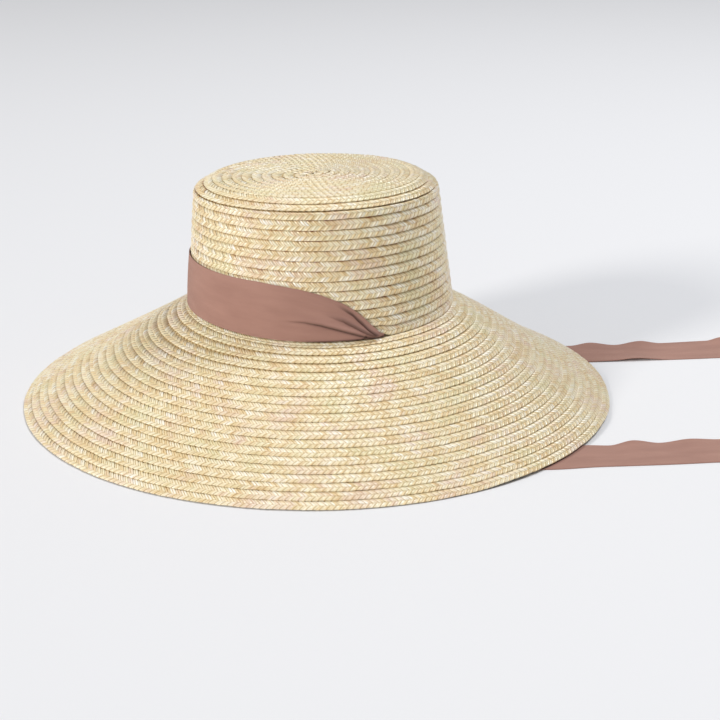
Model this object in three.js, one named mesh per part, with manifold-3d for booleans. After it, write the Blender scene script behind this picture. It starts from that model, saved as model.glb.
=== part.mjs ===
// Wide-brim straw hat, sewn from a coil of plaited straw braid, with one ribbon.
// Millimetres, +Z up. The origin lies under the middle of the rim, on the plane the rim rests on.
// The front of the hat faces -Y and its left side faces +X. The ribbon wraps the front of the
// crown, dives through a slit on each side and runs out on the ground behind the hat.

import * as THREE from 'three';
import { mergeVertices } from 'three/addons/utils/BufferGeometryUtils.js';
import Module from 'manifold-3d';

const wasm = await Module();
wasm.setup();

// Crown, measured outside
const crownLength = 196; // front to back, where it meets the brim
const crownWidth = 170; // side to side, where it meets the brim
const crownHeight = 90; // from the brim up to the shoulder line
const crownTaper = 9.4; // how far each wall leans in on the way up
const crownLean = -3; // how far back the top stands from the base, less than 0 is forward
const tipRise = 9.2; // from the shoulder line up to the middle of the tip
const tipFall = 1.1; // how far the tip has dropped where the shoulder begins
const shoulderReach = 14; // how far the rounded shoulder goes in from the wall
const shoulderCorner = { inward: 2.4, down: 6.6 }; // its sharpest place, from the wall and the tip

// Brim
const brimWidth = 121.8; // level distance from the crown out to the rim
const brimDrop = 69; // how far the rim lies below the foot of the crown
const brimSetback = 3.2; // how far the crown stands behind the middle of the rim
const footBow = 4.4; // how far the foot of the crown rises towards the front and the back
const topTilt = 1.6; // how much lower the shoulder line is at the front than in the middle
const rimFlat = 2.6; // level band under the rim that touches the ground

// Braid
const braidPitch = 7; // from one row of braid to the next
const braidStep = 0.7; // how far a row stands over the row that it laps
const wall = 2.1; // straw, over the proud edge of a row

// Ribbon
const ribbonWidth = 40;
const ribbonWall = 1;
const pleatDepth = 1.4; // how far a pleat stands out beside a slit
const gatherWidth = 11; // the ribbon pulled together inside a slit
const gatherFade = 1.5; // at each side of that, where the ribbon turns from the wall into the slit
const slitAngle = 113.4; // degrees from the front of the crown round to each slit
const tuckReach = 2.4; // how far the gathered ribbon comes out inside the crown

// Ties, from the middle of the rim
const leftTrack = 121; // sideways, to the middle of the left tie
const leftReach = 302; // back, to the end of the left tie
const rightTrack = 78;
const rightReach = 345;

// Clearances
const seamGap = 0.3; // crown to brim
const ribbonGap = 0.4; // ribbon to straw

// Fineness
const crownFacets = 42;
const brimFacets = 48;

const footRadius = crownLength / 2;
const rimRadius = footRadius + brimWidth;
const shoulderRadius = footRadius - crownTaper;
const ovalInset = (crownLength - crownWidth) / 2;
const shoulderZ = brimDrop + crownHeight;
const tipZ = shoulderZ + tipRise;
const gatherEnd = gatherWidth / 2 + gatherFade;
const slitLength = 2 * (gatherEnd + ribbonGap);
const slitHeight = ribbonWall + 3 * ribbonGap + braidStep;
const brimSlope = Math.atan2(brimDrop, brimWidth);
const degree = Math.PI / 180;

// Brim shape by direction: roll lifts the middle of the brim, ogee lifts its inner half
// and drops its outer half. Both are shares of the brim's width.
const brimShape = {
  front: { roll: -0.011, ogee: -0.009 },
  side: { roll: 0.002, ogee: 0.019 },
  back: { roll: -0.008, ogee: 0.032 },
};

// Top edge of the ribbon on the crown, from the middle of a slit towards the front:
// distance and height as shares of the ribbon's width.
const ribbonEdge = [
  { along: -0.18, height: 0.05 },
  { along: -0.1, height: 0.07 },
  { along: 0.03, height: 0.215 },
  { along: 0.2, height: 0.405 },
  { along: 0.37, height: 0.55 },
  { along: 0.54, height: 0.66 },
  { along: 0.75, height: 0.755 },
  { along: 0.97, height: 0.84 },
  { along: 1.3, height: 0.92 },
  { along: 1.65, height: 0.965 },
  { along: 2.1, height: 1 },
];

// Where each tie lies over the ground: sway to the side as a share of the ribbon's width,
// distance back as a share of the way from the rim's middle to the tie's end.
const leftSway = [
  { back: 0.34, sway: -0.16 },
  { back: 0.46, sway: 0.08 },
  { back: 0.64, sway: 0.05 },
  { back: 0.8, sway: -0.06 },
  { back: 1, sway: -0.2 },
];
const rightSway = [
  { back: 0.32, sway: -0.05 },
  { back: 0.45, sway: -0.1 },
  { back: 0.62, sway: -0.04 },
  { back: 0.82, sway: 0.1 },
  { back: 1, sway: 0.27 },
];

const straw = new THREE.MeshStandardMaterial({ color: 0xe6d3ab, roughness: 0.62, metalness: 0 });
const brimStraw = new THREE.MeshStandardMaterial({ color: 0xe8d6b0, roughness: 0.62, metalness: 0 });
const ribbonCloth = new THREE.MeshStandardMaterial({ color: 0xb08879, roughness: 0.85, metalness: 0 });

const hat = new THREE.Group();

// Share of the way from low to high, eased at both ends
function ease(low, high, value) {
  return THREE.MathUtils.smoothstep(value, low, high);
}

// Value of one column of a table at a place given in another
function readTable(table, placeColumn, valueColumn, place) {
  const last = table.length - 1;
  if (place <= table[0][placeColumn]) return table[0][valueColumn];
  for (let i = 0; i < last; i += 1) {
    const from = table[i];
    const to = table[i + 1];
    if (place <= to[placeColumn]) {
      const share = (place - from[placeColumn]) / (to[placeColumn] - from[placeColumn]);
      return THREE.MathUtils.lerp(from[valueColumn], to[valueColumn], share);
    }
  }
  return table[last][valueColumn];
}

// Value that runs smoothly through a front, a side and a back value; toBack goes from -1 to 1
function byDirection(column, toBack) {
  const { front, side, back } = brimShape;
  const slope = (back[column] - front[column]) / 2;
  const bend = (back[column] + front[column]) / 2 - side[column];
  return side[column] + slope * toBack + bend * toBack * toBack;
}

// How far the rim arches up over a tie, as a share, at an angle from the front
function tieArch(angle) {
  const halfCover = 15 * degree;
  const fade = 11 * degree;
  const backTurn = Math.PI - Math.abs(angle);
  const track = angle > 0 ? leftTrack : rightTrack;
  const middle = Math.asin(track / (rimRadius - ovalInset));
  return 1 - ease(halfCover, halfCover + fade, Math.abs(backTurn - middle));
}

// The hat's own form: takes an angle from the front, a radius towards the front and a height
// on an upright, round hat, and gives the point on the oval, tilted hat.
function onHat(angle, radius, height) {
  const toBack = -Math.cos(angle);
  const outward = THREE.MathUtils.clamp((radius - footRadius) / (brimWidth - rimFlat), 0, 1);
  const upward = THREE.MathUtils.clamp((height - brimDrop) / crownHeight, 0, 1);
  const inward = 1 - outward;
  const inset = ovalInset * Math.min(1, radius / footRadius);
  const bow = footBow * (1 - upward) * toBack * toBack;
  const tilt = topTilt * upward * toBack;
  const hump = 4 * outward * inward * brimWidth;
  const roll = byDirection('roll', toBack) + byDirection('ogee', toBack) * (inward - outward);
  const arch = (ribbonWall + ribbonGap) * tieArch(angle) * outward * outward;
  const shift = brimSetback * inward + crownLean * upward;
  return new THREE.Vector3(
    (radius - inset) * Math.sin(angle),
    radius * toBack + shift,
    height + (bow + tilt) * inward + hump * roll + arch,
  );
}

// Closed geometry with shared corners, without flat triangles, its faces outward
function closedSolid(geometry) {
  geometry.deleteAttribute('normal');
  geometry.deleteAttribute('uv');
  const merged = mergeVertices(geometry, 1e-4);
  const place = merged.attributes.position;
  const corner = (i) => new THREE.Vector3().fromBufferAttribute(place, i);
  const kept = [];
  let volume = 0;
  for (let i = 0; i < merged.index.count; i += 3) {
    const [a, b, c] = [0, 1, 2].map((step) => merged.index.getX(i + step));
    if (a !== b && b !== c && c !== a) {
      kept.push([a, b, c]);
      volume += corner(a).dot(corner(b).cross(corner(c)));
    }
  }
  merged.setIndex(kept.flatMap(([a, b, c]) => (volume > 0 ? [a, b, c] : [a, c, b])));
  return merged;
}

function addPiece(name, geometry, material) {
  const piece = new THREE.Mesh(geometry, material);
  piece.name = name;
  hat.add(piece);
}

// Solid of revolution through a profile of radius and height, laid onto the hat's form
function turnedOnHat(profile, facets) {
  const lathe = new THREE.LatheGeometry(profile, facets);
  lathe.rotateX(Math.PI / 2);
  const place = lathe.attributes.position;
  for (let i = 0; i < place.count; i += 1) {
    const [x, y] = [place.getX(i), place.getY(i)];
    const point = onHat(Math.atan2(x, -y), Math.hypot(x, y), place.getZ(i));
    place.setXYZ(i, point.x, point.y, point.z);
  }
  return closedSolid(lathe);
}

// Sheet of cells with a back as far off as the rule says, closed round its edge. The rule gets
// the shares along, across and through the sheet, and both faces are cut into like triangles.
function bentSlab(alongCells, acrossCells, rule) {
  const sheet = new THREE.PlaneGeometry(1, 1, alongCells, acrossCells).translate(0.5, 0.5, 0);
  const place = sheet.attributes.position;
  const corners = [0, 1].flatMap((through) => (
    Array.from({ length: place.count }, (_, i) => rule(place.getX(i), place.getY(i), through))
  ));
  const faces = [];
  const openEdges = new Map();
  for (let i = 0; i < sheet.index.count; i += 3) {
    const face = [0, 1, 2].map((step) => sheet.index.getX(i + step));
    faces.push(face, face.map((corner) => corner + place.count).reverse());
    face.forEach((from, k) => {
      const to = face[(k + 1) % 3];
      if (!openEdges.delete(`${to} ${from}`)) openEdges.set(`${from} ${to}`, [from, to]);
    });
  }
  for (const [from, to] of openEdges.values()) {
    faces.push([to, from, from + place.count], [to, from + place.count, to + place.count]);
  }
  const slab = new THREE.BufferGeometry().setFromPoints(corners);
  slab.setIndex(faces.flat());
  return closedSolid(slab);
}

// Rows of braid along an outline: each row starts sunk under the row before it and ends proud
function braidRows(outline) {
  const rows = Math.round(outline.getLength() / braidPitch);
  const edges = outline.getSpacedPoints(rows);
  const steps = [];
  edges.forEach((edge, i) => {
    const from = edges[Math.max(0, i - 1)];
    const to = edges[Math.min(rows, i + 1)];
    const outward = new THREE.Vector2(from.y - to.y, to.x - from.x).normalize();
    steps.push(edge.clone());
    if (i > 0 && i < rows) steps.push(edge.clone().addScaledVector(outward, -braidStep));
  });
  return steps;
}

// The same outline, one wall further in, in as many steps as its bends need
function innerFace(outline, steps) {
  const edges = outline.getSpacedPoints(steps);
  return edges.map((edge, i) => {
    const from = edges[Math.max(0, i - 1)];
    const to = edges[Math.min(steps, i + 1)];
    const outward = new THREE.Vector2(from.y - to.y, to.x - from.x).normalize();
    if (i === 0) outward.set(0, 1);
    if (i === steps) outward.set(1, 0);
    return edge.clone().addScaledVector(outward, -wall);
  });
}

function crownOutline() {
  const outline = new THREE.Path();
  const tipEdge = shoulderRadius - shoulderReach;
  const corner = { radius: shoulderRadius - shoulderCorner.inward, z: tipZ - shoulderCorner.down };
  outline.moveTo(0, tipZ);
  outline.quadraticCurveTo(tipEdge / 2, tipZ, tipEdge, tipZ - tipFall);
  outline.quadraticCurveTo(corner.radius, corner.z, shoulderRadius, shoulderZ);
  outline.lineTo(footRadius, brimDrop);
  return outline;
}

// Opening in the foot of the crown that a gathered ribbon passes through, as a cutter
function slitCutter(side) {
  const half = slitLength / 2;
  const corner = slitHeight / 3;
  const mouth = new THREE.Shape();
  mouth.moveTo(-half, -wall);
  mouth.lineTo(half, -wall);
  mouth.lineTo(half, slitHeight - corner);
  mouth.quadraticCurveTo(half, slitHeight, half - corner, slitHeight);
  mouth.lineTo(corner - half, slitHeight);
  mouth.quadraticCurveTo(-half, slitHeight, -half, slitHeight - corner);
  const depth = 6 * wall;
  const cutter = new THREE.ExtrudeGeometry(mouth, { depth, bevelEnabled: false, curveSegments: 3 });
  const angle = side * slitAngle * degree;
  const foot = onHat(angle, footRadius - wall / 2, brimDrop);
  const ahead = onHat(angle + 0.01, footRadius - wall / 2, brimDrop);
  cutter.translate(0, 0, -depth / 2);
  cutter.rotateX(Math.PI / 2);
  cutter.rotateZ(Math.atan2(ahead.y - foot.y, ahead.x - foot.x));
  cutter.translate(foot.x, foot.y, foot.z);
  return closedSolid(cutter);
}

function toManifold(geometry) {
  return new wasm.Manifold(new wasm.Mesh({
    numProp: 3,
    vertProperties: new Float32Array(geometry.attributes.position.array),
    triVerts: new Uint32Array(geometry.index.array),
  }));
}

function toGeometry(manifold) {
  const mesh = manifold.getMesh();
  const geometry = new THREE.BufferGeometry();
  geometry.setAttribute('position', new THREE.BufferAttribute(mesh.vertProperties, mesh.numProp));
  geometry.setIndex(new THREE.BufferAttribute(mesh.triVerts, 1));
  return geometry;
}

function buildCrown() {
  const outline = crownOutline();
  const shell = turnedOnHat([...braidRows(outline), ...innerFace(outline, 8).reverse()], crownFacets);
  const cut = toManifold(shell)
    .subtract(toManifold(slitCutter(1)))
    .subtract(toManifold(slitCutter(-1)));
  addPiece('crown', toGeometry(cut), straw);
}

function buildBrim() {
  const seatZ = brimDrop - seamGap;
  const rimTop = wall * 1.1;
  const outline = new THREE.Path();
  outline.moveTo(footRadius, seatZ);
  outline.lineTo(rimRadius, rimTop);
  const underWall = wall / Math.cos(brimSlope);
  const rimInner = rimRadius - rimFlat;
  const easeIn = rimInner - 2 * rimFlat;
  const onOutline = (radius) => THREE.MathUtils.mapLinear(radius, footRadius, rimRadius, seatZ, rimTop);
  const profile = [new THREE.Vector2(footRadius - wall, seatZ), ...braidRows(outline)];
  profile.push(new THREE.Vector2(rimRadius, wall / 2));
  profile.push(new THREE.Vector2(rimRadius - braidStep, 0));
  profile.push(new THREE.Vector2(rimInner, 0));
  for (const share of [1, 0.75, 0.5, 0.25, 0]) {
    const radius = THREE.MathUtils.lerp(footRadius, easeIn, share);
    profile.push(new THREE.Vector2(radius, onOutline(radius) - underWall));
  }
  profile.push(new THREE.Vector2(footRadius - wall, seatZ - underWall));
  profile.push(profile[0].clone());
  addPiece('brim', turnedOnHat(profile, brimFacets), brimStraw);
}

// Places along the ribbon, as distances from the middle of a slit to the front of the crown,
// closest together where the ribbon turns in and folds
function bandStops() {
  const gatherHalf = gatherWidth / 2;
  const stops = [-gatherEnd, -gatherHalf, 0, gatherHalf, gatherEnd];
  const openStops = 17;
  const front = slitAngle * degree * footRadius;
  for (let i = 1; i <= openStops; i += 1) {
    stops.push(THREE.MathUtils.lerp(gatherEnd, front, (i / openStops) ** 1.3));
  }
  return stops;
}

// The ribbon round the front of the crown. Towards each slit it narrows, folds into pleats
// and turns in through the slit.
function buildBand() {
  const stops = bandStops();
  const half = stops.length - 1;
  const tuckRows = 2;
  const wallRows = 6;
  const acrossRows = tuckRows + wallRows;
  addPiece('ribbon_band', bentSlab(2 * half, acrossRows, (along, across, through) => {
    const stop = Math.round(along * 2 * half);
    const side = stop < half ? -1 : 1;
    const fromSlit = stops[Math.min(stop, 2 * half - stop)];
    const angle = side * (slitAngle * degree - fromSlit / footRadius);
    const share = fromSlit / ribbonWidth;
    const top = ribbonWidth * readTable(ribbonEdge, 'along', 'height', share);
    const offMiddle = Math.abs(fromSlit) - gatherWidth / 2;
    const gather = 1 - THREE.MathUtils.clamp(offMiddle / gatherFade, 0, 1);
    const row = Math.round(across * acrossRows);
    const up = Math.max(0, row - tuckRows) / wallRows;
    const onWall = row > tuckRows ? 1 : 0;
    const fold = pleatDepth * (1 - ease(0.3, 1.7, share)) * ease(0.02, 0.25, share) * (row % 2);
    const hem = (row * (1 - gather) * ribbonWall) / tuckRows;
    const corner = gather * (1 - through) * ribbonWall;
    const height = up * (top - ribbonWall) + (onWall ? ribbonWall : hem) + corner * (1 - up);
    const lean = (crownTaper * height) / crownHeight;
    const outside = footRadius - lean + ribbonGap + through * (ribbonWall + fold * onWall);
    const inside = footRadius - wall - tuckReach;
    const inward = gather * Math.max(0, 1 - row / tuckRows);
    const radius = THREE.MathUtils.lerp(outside, inside, inward);
    return onHat(angle, radius, brimDrop + ribbonGap + height);
  }), ribbonCloth);
}

// One end of the ribbon: from the slit down inside the hat, then flat along the ground
function buildTie(name, side, track, reach, sways) {
  const slit = side * slitAngle * degree;
  const tuckEnd = footRadius - wall - tuckReach - ribbonGap;
  const tuckZ = brimDrop + ribbonGap + ribbonWall / 2;
  const start = onHat(slit, tuckEnd, tuckZ);
  const lip = onHat(slit, tuckEnd - 2, tuckZ);
  const turn = onHat(slit, tuckEnd - 4, tuckZ - 2);
  const ground = ribbonWall / 2;
  const floorPoints = sways.map(({ back, sway }) => (
    new THREE.Vector3(side * (track + sway * ribbonWidth), reach * back, ground)
  ));
  const landing = floorPoints[0];
  const hang = [
    { down: 0.2, out: 0.02 },
    { down: 0.5, out: 0.12 },
    { down: 0.8, out: 0.36 },
    { down: 0.965, out: 0.68 },
  ].map(({ down, out }) => new THREE.Vector3(
    THREE.MathUtils.lerp(turn.x, landing.x, out),
    THREE.MathUtils.lerp(turn.y, landing.y, out),
    THREE.MathUtils.lerp(turn.z, landing.z, down),
  ));
  const route = new THREE.CatmullRomCurve3([start, lip, turn, ...hang, ...floorPoints]);
  const gathered = onHat(slit - side * 0.01, tuckEnd, tuckZ).sub(start).setZ(0).normalize();
  const spread = new THREE.Vector3(side, 0, 0);
  const cellsPerPoint = 3;
  const spans = route.points.length - 1;
  addPiece(name, bentSlab(spans * cellsPerPoint, 1, (along, across, through) => {
    const centre = route.getPoint(along);
    const opened = ease(2 / spans, 7 / spans, along);
    const sideways = gathered.clone().lerp(spread, opened).normalize();
    const ahead = route.getTangent(along);
    const normal = new THREE.Vector3().crossVectors(ahead, sideways).normalize();
    const width = THREE.MathUtils.lerp(gatherWidth, ribbonWidth, opened);
    const point = centre.addScaledVector(sideways, (across - 0.5) * width);
    point.addScaledVector(normal, (through - 0.5) * ribbonWall);
    return point;
  }), ribbonCloth);
}

buildCrown();
buildBrim();
buildBand();
buildTie('ribbon_tie_left', 1, leftTrack, leftReach, leftSway);
buildTie('ribbon_tie_right', -1, rightTrack, rightReach, rightSway);

export default hat;
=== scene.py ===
"""Wide-brim straw hat of sewn straw braid with a cloth ribbon, lying on a pale studio floor.

The hat is laid round its own form as a hatter sews it: one plait of straw is modelled, repeated
into a long strip, and coiled from the middle of the tip down the crown and out over the brim,
each row lapping the next. The ribbon is a sheet of cloth with its pleats, and two free ends.
"""

import logging
import math
from collections.abc import Callable
from dataclasses import dataclass, field
from enum import Enum

import bmesh
import bpy
import numpy as np
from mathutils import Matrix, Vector


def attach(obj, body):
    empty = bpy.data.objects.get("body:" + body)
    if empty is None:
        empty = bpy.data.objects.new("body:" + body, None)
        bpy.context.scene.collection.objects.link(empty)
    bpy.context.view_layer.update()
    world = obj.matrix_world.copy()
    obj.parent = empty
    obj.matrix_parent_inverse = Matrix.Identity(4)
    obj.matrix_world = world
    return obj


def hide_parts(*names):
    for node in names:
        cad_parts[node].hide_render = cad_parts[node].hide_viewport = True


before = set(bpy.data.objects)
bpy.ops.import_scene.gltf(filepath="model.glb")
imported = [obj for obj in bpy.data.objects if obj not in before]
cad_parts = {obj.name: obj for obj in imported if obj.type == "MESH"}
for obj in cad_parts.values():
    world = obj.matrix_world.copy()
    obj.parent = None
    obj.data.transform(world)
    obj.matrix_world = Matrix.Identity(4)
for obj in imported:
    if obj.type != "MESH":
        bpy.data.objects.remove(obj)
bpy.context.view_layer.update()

MM = 0.001
TAU = 2 * math.pi
BODY = "root"
log = logging.getLogger("straw_hat")


# Helpers

def ease(low: float, high: float, value: np.ndarray) -> np.ndarray:
    """Gives the share of the way from low to high, eased at both ends.

    Args:
        low: Where the share is 0.
        high: Where the share is 1.
        value: The places that are asked for.

    Returns:
        The share at each place.
    """
    share = np.clip((np.asarray(value, float) - low) / (high - low), 0, 1)
    return share * share * (3 - 2 * share)


def lerp(start: float, end: float, share: np.ndarray) -> np.ndarray:
    """Returns the value at a share of the way from start to end."""
    return start + (end - start) * share


def smooth_noise(rng: np.random.Generator, places: np.ndarray, spacing: float) -> np.ndarray:
    """Gives a smooth random value between -1 and 1 along a line.

    Args:
        rng: The seeded source of random numbers.
        places: Distances along the line.
        spacing: Distance from one random value to the next.

    Returns:
        The value at each place.
    """
    cells = places / spacing
    low = cells.min()
    knots = rng.uniform(-1, 1, int(cells.max() - low) + 3)
    index = np.floor(cells - low).astype(int)
    return lerp(knots[index], knots[index + 1], ease(0, 1, cells - low - index))


def linear(hex_colour: str) -> tuple[float, float, float, float]:
    """Turns an sRGB hex colour into the linear colour that the shaders take.

    Args:
        hex_colour: Six hex digits.

    Returns:
        Red, green, blue and an alpha of 1.
    """
    parts = [int(hex_colour[i:i + 2], 16) / 255 for i in (0, 2, 4)]
    return (*(c / 12.92 if c <= 0.04045 else ((c + 0.055) / 1.055) ** 2.4 for c in parts), 1.0)


def deselect_all() -> None:
    """Leaves object mode and takes everything out of the selection."""
    if bpy.context.object and bpy.context.object.mode != "OBJECT":
        bpy.ops.object.mode_set(mode="OBJECT")
    bpy.ops.object.select_all(action="DESELECT")


def select_only(piece: bpy.types.Object) -> None:
    """Makes one piece the only selected and the active one."""
    deselect_all()
    piece.select_set(True)
    bpy.context.view_layer.objects.active = piece


def add_grid(name: str, along: int, across: int) -> bpy.types.Object:
    """Adds a flat grid, 1 m each way round the origin.

    Args:
        name: The grid's name.
        along: How many cells it has along x.
        across: How many cells it has along y.

    Returns:
        The grid.
    """
    deselect_all()
    bpy.ops.mesh.primitive_grid_add(x_subdivisions=along, y_subdivisions=across, size=1)
    grid = bpy.context.object
    grid.name = grid.data.name = name
    return grid


def select_corners(piece: bpy.types.Object, test: Callable[[Vector], bool]) -> None:
    """Selects the corners of a piece in edit mode by their place.

    Args:
        piece: The piece, in edit mode.
        test: Takes a corner's place and says whether it is selected.
    """
    mesh = bmesh.from_edit_mesh(piece.data)
    for corner in mesh.verts:
        corner.select = test(corner.co)
    mesh.select_flush_mode()
    bmesh.update_edit_mesh(piece.data)


def apply_modifier(piece: bpy.types.Object, kind: str, **settings) -> None:
    """Adds a modifier to a piece, sets it and applies it.

    Args:
        piece: The piece that gets the modifier.
        kind: The modifier's type.
        **settings: The modifier's settings by name.
    """
    select_only(piece)
    modifier = piece.modifiers.new(kind.title(), kind)
    for name, value in settings.items():
        setattr(modifier, name, value)
    bpy.ops.object.modifier_apply(modifier=modifier.name)


def smooth(piece: bpy.types.Object, sharp: float) -> None:
    """Shades a piece smooth but for edges that turn by more than an angle, in degrees."""
    select_only(piece)
    bpy.ops.object.shade_smooth_by_angle(angle=math.radians(sharp))


def corner_places(piece: bpy.types.Object) -> np.ndarray:
    """Returns the places of a piece's corners, one row for each."""
    places = np.empty(len(piece.data.vertices) * 3, np.float32)
    piece.data.vertices.foreach_get("co", places)
    return places.reshape(-1, 3).astype(float)


def move_corners(piece: bpy.types.Object, places: np.ndarray) -> None:
    """Puts a piece's corners at the given places."""
    piece.data.vertices.foreach_set("co", places.astype(np.float32).ravel())
    piece.data.update()


def read_attribute(piece: bpy.types.Object, name: str) -> np.ndarray:
    """Returns one number for each corner of a piece."""
    values = np.empty(len(piece.data.vertices), np.float32)
    piece.data.attributes[name].data.foreach_get("value", values)
    return values.astype(float)


def write_attribute(piece: bpy.types.Object, name: str, values: np.ndarray) -> None:
    """Writes one number for each corner of a piece, which its material can read."""
    attribute = piece.data.attributes.new(name, "FLOAT", "POINT")
    attribute.data.foreach_set("value", values.astype(np.float32))


def write_uv(piece: bpy.types.Object, name: str, values: np.ndarray) -> None:
    """Writes a UV map from one pair of numbers for each corner of a piece.

    Args:
        piece: The piece.
        name: The map's name.
        values: One row of two numbers for each corner.
    """
    layer = piece.data.uv_layers.get(name) or piece.data.uv_layers.new(name=name)
    loops = np.empty(len(piece.data.loops), np.int32)
    piece.data.loops.foreach_get("vertex_index", loops)
    layer.data.foreach_set("uv", values[loops].astype(np.float32).ravel())


def dress(piece: bpy.types.Object, material: bpy.types.Material, slot: str, *nodes: str) -> None:
    """Gives a finished piece its material and its body, and hides the solids that it replaces.

    Args:
        piece: The finished piece.
        material: Its material.
        slot: The record's slot for its finish. Not used.
        *nodes: The solids that it replaces.
    """
    piece.data.materials.clear()
    piece.data.materials.append(material)
    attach(piece, BODY)
    if nodes:
        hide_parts(*nodes)
    log.info("%s: %d faces", piece.name, len(piece.data.polygons))


# The hat's form

@dataclass(frozen=True)
class BrimShape:
    """How a hat's brim bends by direction, in shares of its width, from front to back."""

    front: float
    side: float
    back: float

    def towards(self, to_back: np.ndarray) -> np.ndarray:
        """Returns the bend towards a direction, -1 at the front and 1 at the back."""
        slope = (self.back - self.front) / 2
        bend = (self.back + self.front) / 2 - self.side
        return self.side + slope * to_back + bend * to_back * to_back


@dataclass(frozen=True)
class HatForm:
    """The form that the hat is blocked on: an oval crown that stands on a sloping brim."""

    crown_length: float = 196 * MM
    crown_width: float = 170 * MM
    crown_height: float = 90 * MM
    crown_taper: float = 9.4 * MM
    crown_lean: float = -3 * MM
    tip_rise: float = 9.2 * MM
    tip_fall: float = 1.1 * MM
    shoulder_reach: float = 14 * MM
    shoulder_inward: float = 2.4 * MM
    shoulder_down: float = 6.6 * MM
    brim_width: float = 121.8 * MM
    brim_drop: float = 69 * MM
    brim_setback: float = 3.2 * MM
    foot_bow: float = 4.4 * MM
    top_tilt: float = 1.6 * MM
    rim_flat: float = 2.6 * MM
    wall: float = 2.1 * MM
    seam_gap: float = 0.3 * MM
    left_track: float = 121 * MM
    right_track: float = 78 * MM
    tie_clear: float = 1.4 * MM
    roll: BrimShape = BrimShape(-0.011, 0.002, -0.008)
    ogee: BrimShape = BrimShape(-0.009, 0.019, 0.032)

    @property
    def foot_radius(self) -> float:
        """Half the crown's length, where it meets the brim."""
        return self.crown_length / 2

    @property
    def rim_radius(self) -> float:
        """Half the hat's length at the rim."""
        return self.foot_radius + self.brim_width

    @property
    def oval_inset(self) -> float:
        """How much nearer the sides of the hat are than its front and back."""
        return (self.crown_length - self.crown_width) / 2

    def tie_arch(self, angle: np.ndarray) -> np.ndarray:
        """Gives how far the rim arches up over a tie, as a share.

        Args:
            angle: Angles from the front, in radians.

        Returns:
            The share at each angle.
        """
        half_cover, fade = math.radians(15), math.radians(11)
        turned = np.mod(angle + math.pi, TAU) - math.pi
        track = np.where(turned > 0, self.left_track, self.right_track)
        middle = np.arcsin(track / (self.rim_radius - self.oval_inset))
        away = np.abs(math.pi - np.abs(turned) - middle)
        return 1 - ease(half_cover, half_cover + fade, away)

    def on_hat(self, angle: np.ndarray, radius: np.ndarray, height: np.ndarray) -> np.ndarray:
        """Lays places of an upright, round hat onto the oval, tilted one.

        Args:
            angle: Angles from the front, in radians.
            radius: Radii towards the front.
            height: Heights over the floor.

        Returns:
            One place for each, as rows of x, y and z.
        """
        to_back = -np.cos(angle)
        outward = np.clip((radius - self.foot_radius) / (self.brim_width - self.rim_flat), 0, 1)
        upward = np.clip((height - self.brim_drop) / self.crown_height, 0, 1)
        inward = 1 - outward
        inset = self.oval_inset * np.minimum(1, radius / self.foot_radius)
        bow = self.foot_bow * (1 - upward) * to_back * to_back
        tilt = self.top_tilt * upward * to_back
        hump = 4 * outward * inward * self.brim_width
        roll = self.roll.towards(to_back) + self.ogee.towards(to_back) * (inward - outward)
        arch = self.tie_clear * self.tie_arch(angle) * outward * outward
        shift = self.brim_setback * inward + self.crown_lean * upward
        return np.stack([
            (radius - inset) * np.sin(angle),
            radius * to_back + shift,
            height + (bow + tilt) * inward + hump * roll + arch,
        ], axis=-1)

    def crown_outline(self) -> np.ndarray:
        """Returns the crown's outline as rows of radius and height, from the tip to its foot."""
        shoulder = self.foot_radius - self.crown_taper
        shoulder_z = self.brim_drop + self.crown_height
        tip_z = shoulder_z + self.tip_rise
        tip_edge = shoulder - self.shoulder_reach
        edge = (tip_edge, tip_z - self.tip_fall)
        corner = (shoulder - self.shoulder_inward, tip_z - self.shoulder_down)
        tip = quadratic((0, tip_z), (tip_edge / 2, tip_z), edge)
        bend = quadratic(edge, corner, (shoulder, shoulder_z))
        foot = [(self.foot_radius, self.brim_drop)]
        return np.concatenate([tip, bend[1:], foot])

    def brim_outline(self) -> np.ndarray:
        """Returns the brim's outline as rows of radius and height, from the crown to the rim."""
        seat = (self.foot_radius, self.brim_drop - self.seam_gap)
        return np.array([seat, (self.rim_radius, self.wall * 1.1)])


def quadratic(start: tuple, control: tuple, end: tuple, steps: int = 60) -> np.ndarray:
    """Returns places along a curve with one control point, as rows."""
    share = np.linspace(0, 1, steps + 1)[:, None]
    start, control, end = (np.array(p) for p in (start, control, end))
    return (1 - share) ** 2 * start + 2 * share * (1 - share) * control + share ** 2 * end


# Straw braid

@dataclass(frozen=True)
class Station:
    """One ring of corners along a straw: its place, its rise and its width, as shares."""

    along: float
    rise: float
    width: float


@dataclass(frozen=True)
class StrawShape:
    """The shape of a straw in one column: its reach across, its bulge, its back, its lap, its rings."""

    reach: float
    crest: float
    back: float
    shingle: float
    stations: tuple[Station, ...]


class Column(Enum):
    """The two slanting columns of a plait: the proud outer one and the lapped inner one."""

    OUTER = 1
    INNER = -1


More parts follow.
